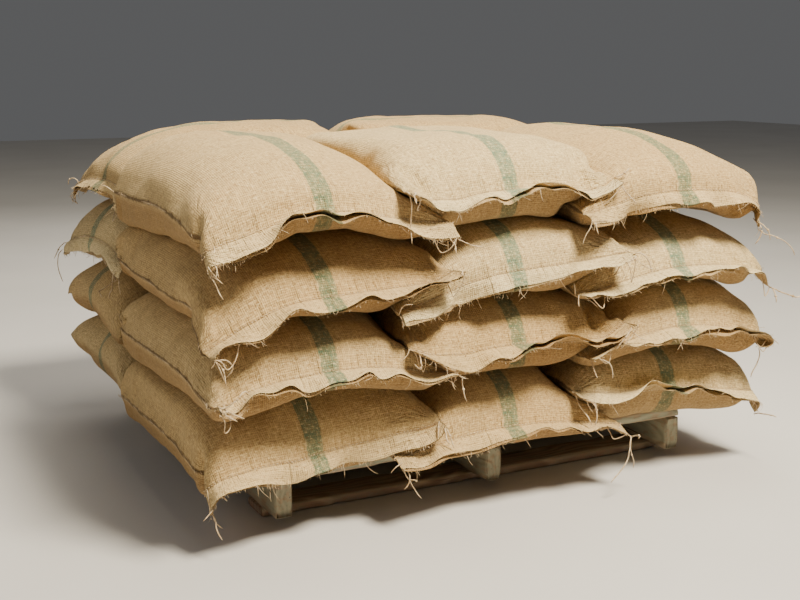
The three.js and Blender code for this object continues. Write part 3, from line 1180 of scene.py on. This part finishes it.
# sawn softwood that has weathered: fibres along X of its own coordinates, splits, saw marks
def sawnTimberGroup():
    group, t, inside, outside = newGroup("sawnTimber", {"Vector": None},
                                         ["Grain", "Splits", "Saw Marks", "Weather"])
    vector = inside[0]
    warped = t.stretched(vector, (3.0, 9.0, 9.0), output="Color")
    bent = t.vector("ADD", t.vector("MULTIPLY", vector, (2.2, 34.0, 34.0)),
                    t.vector("MULTIPLY", warped, (0.0, 5.0, 5.0)))
    rings = t.add("ShaderNodeTexWave", {"Vector": bent, "Scale": 0.55, "Distortion": 3.2,
                                        "Detail": 3.0, "Detail Scale": 1.4},
                  wave_type="BANDS", bands_direction="Y")
    fibres = t.stretched(vector, (7.0, 420.0, 420.0), 4.0, 0.65)
    grain = t.plus(t.times(rings.outputs[1], 0.45), t.times(fibres, 0.55))
    t.feed(outside, {0: t.fit(grain, 0.25, 0.75),
                     1: t.fit(t.stretched(vector, (3.5, 95.0, 95.0), 2.0, 0.5, 0.4), 0.66, 0.72),
                     2: t.stretched(vector, (260.0, 14.0, 14.0), 1.0),
                     3: t.fit(t.stretched(vector, (4.0, 11.0, 11.0), 5.0, 0.6), 0.35, 0.68)})
    return group


def newMaterial(name):
    material = bpy.data.materials.new(name)
    material.use_nodes = True
    material.node_tree.nodes.clear()
    tree = Tree(material.node_tree)
    shader = tree.add("ShaderNodeBsdfPrincipled")
    tree.add("ShaderNodeOutputMaterial", {0: shader.outputs[0]})
    return material, tree, shader


sacking = {
    "light": (0.865, 0.675, 0.335, 1),
    "middle": (0.620, 0.442, 0.208, 1),
    "dark": (0.268, 0.166, 0.070, 1),
    # painted shade in the gaps between the yarns
    "gap": (0.050, 0.028, 0.011, 1),
    # paler cloth of the flap and its frayed rim, partly painted light on the flap
    "rim": (0.930, 0.785, 0.460, 1),
    # painted shade along the side seams
    "seam": (0.115, 0.062, 0.026, 1),
    "stripe": (0.060, 0.190, 0.135, 1),
    # painted shade: the underside colour darkens the lower half of each sack
    "underside": (0.56, 0.46, 0.36, 1),     # these two multiply the others
    "oldSack": (0.78, 0.67, 0.54, 1),
    "sheen": (0.95, 0.78, 0.50, 1),
    "threadDark": (0.34, 0.22, 0.11, 1),
    "threadLight": (0.74, 0.60, 0.40, 1),
    "stripeHalfWidth": 0.021,
    "yarnPitch": 0.0046,
}


def sackingMaterial(weaveGroup, fuzzGroup, creaseGroup):
    material, t, shader = newMaterial("sacking")
    cloth = t.add("ShaderNodeUVMap", uv_map="clothMetres").outputs[0]
    tone, flap, halfWidth, length, underside, nearSeam = (
        t.attribute(name) for name in
        ("sackTone", "flapShare", "halfWidth", "sackLength", "underside", "nearSeam"))
    weave = t.group(weaveGroup, {"Vector": cloth, "Yarn Pitch": sacking["yarnPitch"]})
    fuzz = t.group(fuzzGroup, {"Vector": t.place()})
    yarn = weave["Yarn Tone"]
    u = t.math("ABSOLUTE", t.split(cloth)[0])
    fromSide = t.minus(halfWidth, u)
    # the dyed yarns of the stripe, a little uneven at its edges
    edge = t.plus(u, t.fit(t.noise(cloth, 90.0), 0, 1, -0.003, 0.003))
    width = sacking["stripeHalfWidth"]
    stripe = t.fit(edge, width - 0.001, width + 0.001, 1.0, 0.0)
    worn = t.fit(t.noise(cloth, 70.0, 4.0, 0.7), 0.38, 0.62, 1.0, 0.62)
    stripe = t.times(stripe, t.times(worn, t.fit(yarn, 0, 1, 1.0, 0.7)))
    slubs = t.stretched(cloth, (120.0, 165.0, 0.0), 2.0, 0.75)
    # painted shade: a dark line along the side seams, beside their ridge
    uneven = t.fit(t.noise(cloth, 45.0, 3.0, 0.6), 0.3, 0.7, -0.0020, 0.0035)
    side = t.fit(t.plus(fromSide, uneven), 0.0028, 0.0070, 0.88, 0.0)
    color = t.layers(t.mix(yarn, sacking["dark"], sacking["light"]), sacking, (
        ("light", t.times(fuzz["Fuzz"], 0.55)),
        ("middle", t.times(fuzz["Dust"], 0.55)),
        # the flap is painted paler: partly its paler cloth, partly painted light where it stands
        # out into the light from above
        ("rim", t.fit(flap, 0.0, 0.15, 0.0, 0.34)),
        ("rim", t.fit(flap, 0.72, 1.0, 0.0, 0.45)),
        ("stripe", stripe),
        # painted shade between the yarns
        ("gap", t.times(weave["Gaps"], 0.62)),
        ("dark", t.fit(slubs, 0.55, 0.68, 0.0, 0.75)),
        ("rim", t.fit(slubs, 0.45, 0.32, 0.0, 0.6)),
        # painted shade along the side seams
        ("seam", side),
    ))
    # painted shade on the sacks' undersides
    color = t.tint(t.times(underside, 0.85), color, sacking["underside"])
    color = t.tint(t.times(tone, 0.85), color, sacking["oldSack"])
    # painted shade in the crease along the sewing of the mouth
    sewn = t.fit(t.math("ABSOLUTE", t.plus(flap, 0.02)), 0.0, 0.10, 0.5, 0.0)
    color = t.mix(t.times(sewn, t.fit(nearSeam, 0.9, 1.0)), color, sacking["dark"])
    # the cloth is gathered into small pleats where it is sewn
    alongMouth = t.stretched(cloth, (62.0, 9.0, 0.0), 3.0, 0.55)
    alongSide = t.stretched(cloth, (10.0, 55.0, 0.0))
    pleats = t.choose(t.fit(fromSide, 0.01, 0.06, 1.0, 0.0), alongMouth, alongSide)
    creases = t.group(creaseGroup, {"Vector": cloth, "Half Width": halfWidth,
                                    "Length": length, "Seed": tone})
    bump = t.bump(t.times(pleats, nearSeam), 0.9, 0.018)
    bump = t.bump(creases[0], 0.6, 0.012, bump)
    bump = t.bump(fuzz["Lumps"], 0.35, 0.005, bump)
    bump = t.bump(t.plus(weave["Height"], t.times(fuzz["Fuzz"], 0.35)), 0.9, 0.0014, bump)
    t.feed(shader, {"Base Color": color, "Roughness": t.fit(fuzz["Fuzz"], 0, 1, 0.88, 1.0),
                    "Normal": bump, "Specular IOR Level": 0.15, "Sheen Weight": 0.22,
                    "Sheen Roughness": 0.6, "Sheen Tint": sacking["sheen"]})
    return material


def threadMaterial():
    material, t, shader = newMaterial("juteThread")
    noise = t.noise(t.place(), 60.0, 4.0, 0.6)
    color = t.mix(t.fit(noise, 0.3, 0.7), sacking["threadDark"], sacking["threadLight"])
    t.feed(shader, {"Base Color": color, "Roughness": t.fit(noise, 0, 1, 0.8, 0.95),
                    "Specular IOR Level": 0.2,
                    "Normal": t.bump(t.noise(t.place(), 900.0, 1.0), 0.6, 0.0004)})
    return material


timber = {
    "light": (0.470, 0.360, 0.225, 1),
    "dark": (0.235, 0.165, 0.095, 1),
    "grey": (0.330, 0.275, 0.205, 1),
    # painted shade inside the splits
    "split": (0.055, 0.036, 0.022, 1),
    "greenPaint": (0.300, 0.385, 0.290, 1),
    "redPaint": (0.450, 0.130, 0.085, 1),
    "steps": (70, 8, 4),                    # along a board, across it and up its thickness
    "endShrink": ((0, 0.0024), (0.0012, 0.0008), (0.004, 0)),   # from the end, and how much
    "wear": 0.0005,
    "roughness": 0.0007,
    "cornerWear": 0.0016,
    "chipReach": (0.008, 0.035),
    "chipDepth": (0.002, 0.006),
}


def timberMaterial(timberGroup):
    material, t, shader = newMaterial("palletTimber")
    board = t.attribute("boardMetres", "Vector")
    edge, green, red, endGrain = (t.attribute(name) for name in
                                  ("edgeWear", "greenPaint", "redPaint", "endGrain"))
    wood = t.group(timberGroup, {"Vector": board})
    grain, splits = wood["Grain"], wood["Splits"]
    flaking = t.stretched(board, (22.0, 60.0, 60.0), 5.0, 0.68)
    kept = t.fit(t.minus(flaking, t.times(edge, 0.22)), 0.42, 0.50)
    color = t.layers(t.mix(grain, timber["dark"], timber["light"]), timber, (
        ("grey", t.times(wood["Weather"], 0.7)),
        ("dark", t.times(endGrain, 0.45)),
        ("greenPaint", t.times(green, kept, 0.62)),
        ("redPaint", t.times(red, kept, 0.72)),
        # painted shade in the splits of the wood
        ("split", t.times(splits, 0.8)),
        ("light", t.times(edge, 0.22)),
    ))
    height = t.plus(t.minus(t.times(grain, 0.5), splits), t.times(wood["Saw Marks"], 0.3))
    t.feed(shader, {"Base Color": color, "Roughness": t.fit(grain, 0, 1, 0.92, 0.74),
                    "Specular IOR Level": 0.3, "Normal": t.bump(height, 0.75, 0.0016)})
    return material


nail = {
    # of its head, each with its radius and how far out it is
    "rings": ((0.0034, -0.0012), (0.0040, 0.0002), (0.0034, 0.0009), (0.0014, 0.0010)),
    "sides": 10,
    "sunk": 0.0010,
    "across": (0.27, 0.73),     # a board's width
    "strayX": 0.006,
    "strayAcross": 0.05,
    "steel": (0.200, 0.185, 0.170, 1),
    "rust": (0.160, 0.062, 0.026, 1),
}


def nailMaterial():
    material, t, shader = newMaterial("nailSteel")
    rust = t.fit(t.noise(t.place(), 260.0, 4.0, 0.6), 0.4, 0.6)
    t.feed(shader, {"Base Color": t.mix(rust, nail["steel"], nail["rust"]),
                    "Roughness": t.fit(rust, 0, 1, 0.45, 0.9),
                    "Metallic": t.fit(rust, 0, 1, 0.85, 0.1),
                    "Normal": t.bump(rust, 0.5, 0.0003)})
    return material


# a sawn board in place of its plain solid: worn edges and chips, all inside the solid
def timberBoard(name, material, number, paint):
    rng = np.random.default_rng(900 + number)
    low, high = (np.array(corner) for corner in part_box(name))
    size, centre = high - low, (low + high) / 2
    axis = 0 if size[0] > size[1] else 1
    length, width, thick = size[axis], size[1 - axis], size[2]
    lengthSteps, wideSteps, tallSteps = timber["steps"]
    nearEnd, shrink = np.array(timber["endShrink"]).T
    bothEnds = np.concatenate([nearEnd, (length - nearEnd)[::-1]])
    stations = np.insert(bothEnds, len(nearEnd), np.linspace(0.012, length - 0.012, lengthSteps))
    wide, tall = np.linspace(-1, 1, wideSteps + 1), np.linspace(-1, 1, tallSteps + 1)
    ring = [(w, -1.0) for w in wide[:-1]] + [(1.0, h) for h in tall[:-1]]
    ring = np.array(ring + [(-w, -h) for w, h in ring])
    atCorner = np.abs(ring).min(axis=1) > 0.99
    x = np.repeat(stations[:, None], len(ring), 1)
    across, up = (np.repeat(ring[:, n][None, :] * extent / 2, len(stations), 0)
                  for n, extent in enumerate((width, thick)))
    rough = np.zeros_like(x)
    for _ in range(14):
        a, b, c = rng.uniform(4, 90), rng.uniform(-60, 60), rng.uniform(-60, 60)
        rough += np.sin(a * x + b * across + c * up + rng.uniform(0, 6.28)) / 14
    inset = np.interp(stations, bothEnds, np.concatenate([shrink, shrink[::-1]]))[:, None]
    inset = inset + timber["wear"] + timber["roughness"] * (rough + 0.5).clip(0, 1.4)
    inset = inset + np.where(atCorner, timber["cornerWear"] + 0.0012 * rough.clip(0, 1), 0)
    for _ in range(int(rng.integers(5, 10))):
        corner = rng.choice(np.nonzero(atCorner)[0])
        where = rng.uniform(0, length) if rng.uniform() < 0.6 else rng.choice([0.0, length])
        reach, depth = rng.uniform(*timber["chipReach"]), rng.uniform(*timber["chipDepth"])
        fromEdge = (across - across[0, corner]) ** 2 + (up - up[0, corner]) ** 2
        inset = inset + depth * np.exp(-((x - where) / reach) ** 2) * np.exp(-fromEdge / 0.009 ** 2)
    direction = np.where(np.abs(ring) > 0.99, ring, 0)
    direction = unit(direction.T) * np.where(atCorner, 1.25, 1)
    vertices = np.zeros(x.shape + (3,))
    vertices[..., axis] = low[axis] + x
    vertices[..., 1 - axis] = centre[1 - axis] + across - inset * direction[0]
    vertices[..., 2] = centre[2] + up - inset * direction[1]
    count, perRing = x.shape
    # the faces of the long sides point inwards, and those of the ends outwards
    faces = tubeFaces(0, count, perRing, False)
    if axis == 0:
        faces = [(face[0], *face[:0:-1]) for face in faces]
    # each end is a grid between the lower and the upper side of its ring
    flat, ends = vertices.reshape(-1, 3).tolist(), []
    for side, first in enumerate((0, (count - 1) * perRing)):
        grid = np.full((tallSteps + 1, wideSteps + 1), -1)
        grid[0] = first + np.arange(wideSteps + 1)
        grid[-1] = first + tallSteps + 2 * wideSteps - np.arange(wideSteps + 1)
        grid[:, -1] = first + wideSteps + np.arange(tallSteps + 1)
        grid[:, 0] = first + (-np.arange(tallSteps + 1)) % perRing
        for h in range(1, tallSteps):
            for w in range(1, wideSteps):
                point = [0.0, 0.0, float(centre[2] + tall[h] * thick / 2)]
                sunk = 0.0004 * rng.uniform()
                point[axis] = float(high[axis] - sunk if side else low[axis] + sunk)
                point[1 - axis] = float(centre[1 - axis] + wide[w] * width / 2)
                grid[h, w] = len(flat)
                flat.append(point)
        for h in range(tallSteps):
            for w in range(wideSteps):
                face = (grid[h, w], grid[h, w + 1], grid[h + 1, w + 1], grid[h + 1, w])
                face = [int(v) for v in face]
                faces.append(tuple(face if (side == 1) == (axis == 0) else reversed(face)))
        ends.append(grid.ravel())
    obj = newMesh(name + "_sawn", flat, faces, material)
    points = np.array(flat)
    own = points[:, [axis, 1 - axis, 2]] + rng.uniform(-20, 20, 3)
    edgeWear, endGrain = np.zeros((2, len(points)))
    edgeWear[:count * perRing] = np.tile(atCorner, count)
    endGrain[np.concatenate(ends)] = 1
    setAttribute(obj, "edgeWear", edgeWear)
    setAttribute(obj, "endGrain", endGrain)
    for color in ("greenPaint", "redPaint"):
        setAttribute(obj, color, paint.get(color, 0.0))
    metres = obj.data.attributes.new("boardMetres", "FLOAT_VECTOR", "POINT")
    metres.data.foreach_set("vector", own.reshape(-1).astype(np.float32))
    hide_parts(name)
    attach(obj, "root")
    return obj


def palletNails(material):
    rng = np.random.default_rng(77)
    vertices, faces = [], []
    sides = nail["sides"]
    stringers = [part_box(f"stringer_{place}") for place in ("left", "centre", "right")]
    boards = [(f"deck_board_{n}", 1) for n in range(1, 7)]
    boards += [(f"base_board_{place}", -1) for place in ("front", "middle", "back")]
    places = [(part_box(name), side, stringer, share)
              for name, side in boards for stringer in stringers for share in nail["across"]]
    for (low, high), side, stringer, share in places:
        x = (stringer[0][0] + stringer[1][0]) / 2 + rng.uniform(-nail["strayX"], nail["strayX"])
        share = share + rng.uniform(-nail["strayAcross"], nail["strayAcross"])
        y = low[1] + (high[1] - low[1]) * share
        z = high[2] - nail["sunk"] if side > 0 else low[2] + nail["sunk"]
        start = len(vertices)
        for radius, lift in nail["rings"]:
            for n in range(sides):
                angle = 2 * math.pi * n / sides
                across, away = radius * math.cos(angle), radius * math.sin(angle)
                vertices.append((x + across, y + away, z + side * lift))
        made = tubeFaces(start, len(nail["rings"]), sides)
        faces += made if side > 0 else [face[::-1] for face in made]
    obj = newMesh("pallet_nails", vertices, faces, material)
    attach(obj, "root")


def makePallet(timberGroup):
    material = timberMaterial(timberGroup)
    boards = [(f"stringer_{place}", {"greenPaint": 0.55}) for place in ("left", "centre", "right")]
    boards += [(f"deck_board_{n}", {"greenPaint": 0.7 if n in (1, 6) else 0.3})
               for n in range(1, 7)]
    boards += [(f"base_board_{place}", {"redPaint": paint})
               for place, paint in (("front", 0.25), ("middle", 0.0), ("back", 0.0))]
    for number, (name, paint) in enumerate(boards):
        timberBoard(name, material, number, paint)
    palletNails(nailMaterial())
    print(f"pallet made, {time.time() - startTime:.0f} s")


stage = {
    "floorHalf": 14,
    "floor": ((0.54, 0.52, 0.49, 1), (0.58, 0.56, 0.53, 1)),
    "sky": (0.97, 0.98, 1.0, 1),
    "skyPower": 0.11,
    "aim": (0, 0, 0.35),
    "camera": ((-1.50, -3.02, 1.05), (0.02, -0.03, 0.385)),     # its place and what it looks at
    "lens": 54,
    "lamps": {      # place, width, power and colour
        "keyLight": ((0.9, -2.8, 4.7), 1.3, 730, (1.0, 0.91, 0.74)),
        "fillLight": ((-3.8, -1.6, 2.6), 2.6, 26, (1.0, 0.96, 0.90)),
        "topLight": ((0.3, 0.4, 4.2), 2.4, 80, (1.0, 0.93, 0.80)),
        "backLight": ((1.5, 4.0, 2.8), 2.4, 80, (1.0, 0.94, 0.84)),
    },
}


# a lamp or a camera, turned from its place to what it looks at
def placeAimed(name, data, at, aim):
    obj = bpy.data.objects.new(name, data)
    obj.location = at
    obj.rotation_euler = (Vector(aim) - Vector(at)).to_track_quat("-Z", "Y").to_euler()
    bpy.context.scene.collection.objects.link(obj)
    return obj


def makeStage():
    material, t, shader = newMaterial("paleFloor")
    tone = t.fit(t.noise(t.place(), 1.3, 3.0), 0.3, 0.7)
    t.feed(shader, {"Base Color": t.mix(tone, *stage["floor"]), "Roughness": 0.85})
    size = stage["floorHalf"]
    corners = [(-size, -size, 0), (size, -size, 0), (size, size, 0), (-size, size, 0)]
    floor = newMesh("studioFloor", corners, [(0, 1, 2, 3)], material)
    world = bpy.data.worlds.new("studioSky")
    world.use_nodes = True
    background = world.node_tree.nodes["Background"]
    background.inputs[0].default_value = stage["sky"]
    background.inputs[1].default_value = stage["skyPower"]
    bpy.context.scene.world = world
    for name, (at, width, power, color) in stage["lamps"].items():
        lamp = bpy.data.lights.new(name, "AREA")
        lamp.size = width
        lamp.energy = power
        lamp.color = color
        placeAimed(name, lamp, at, stage["aim"])


# the photograph's viewpoint, drawn in to this load
def makeCamera():
    data = bpy.data.cameras.new("photoCamera")
    data.sensor_width = 36
    data.lens = stage["lens"]
    bpy.context.scene.camera = placeAimed("photoCamera", data, *stage["camera"])


def makeSacks():
    cloth, table = makeCloth()
    material = sackingMaterial(plainWeaveGroup(), fuzzAndDustGroup(), cornerCreaseGroup())
    threadJute = threadMaterial()
    for number, (name, row) in enumerate(zip(sackNames(), table)):
        points = cloth[:, number].astype(np.float64)
        crumpleFlap(points, number)
        trimRim(points, number)
        partLayers(points)
        sackSkin(name + "_cloth", points, row, number, material, name)
        sackThreads(name, points, row, number, threadJute)
    print(f"sacks made, {time.time() - startTime:.0f} s")


def main():
    makeCamera()
    makeStage()
    makePallet(sawnTimberGroup())
    makeSacks()


main()
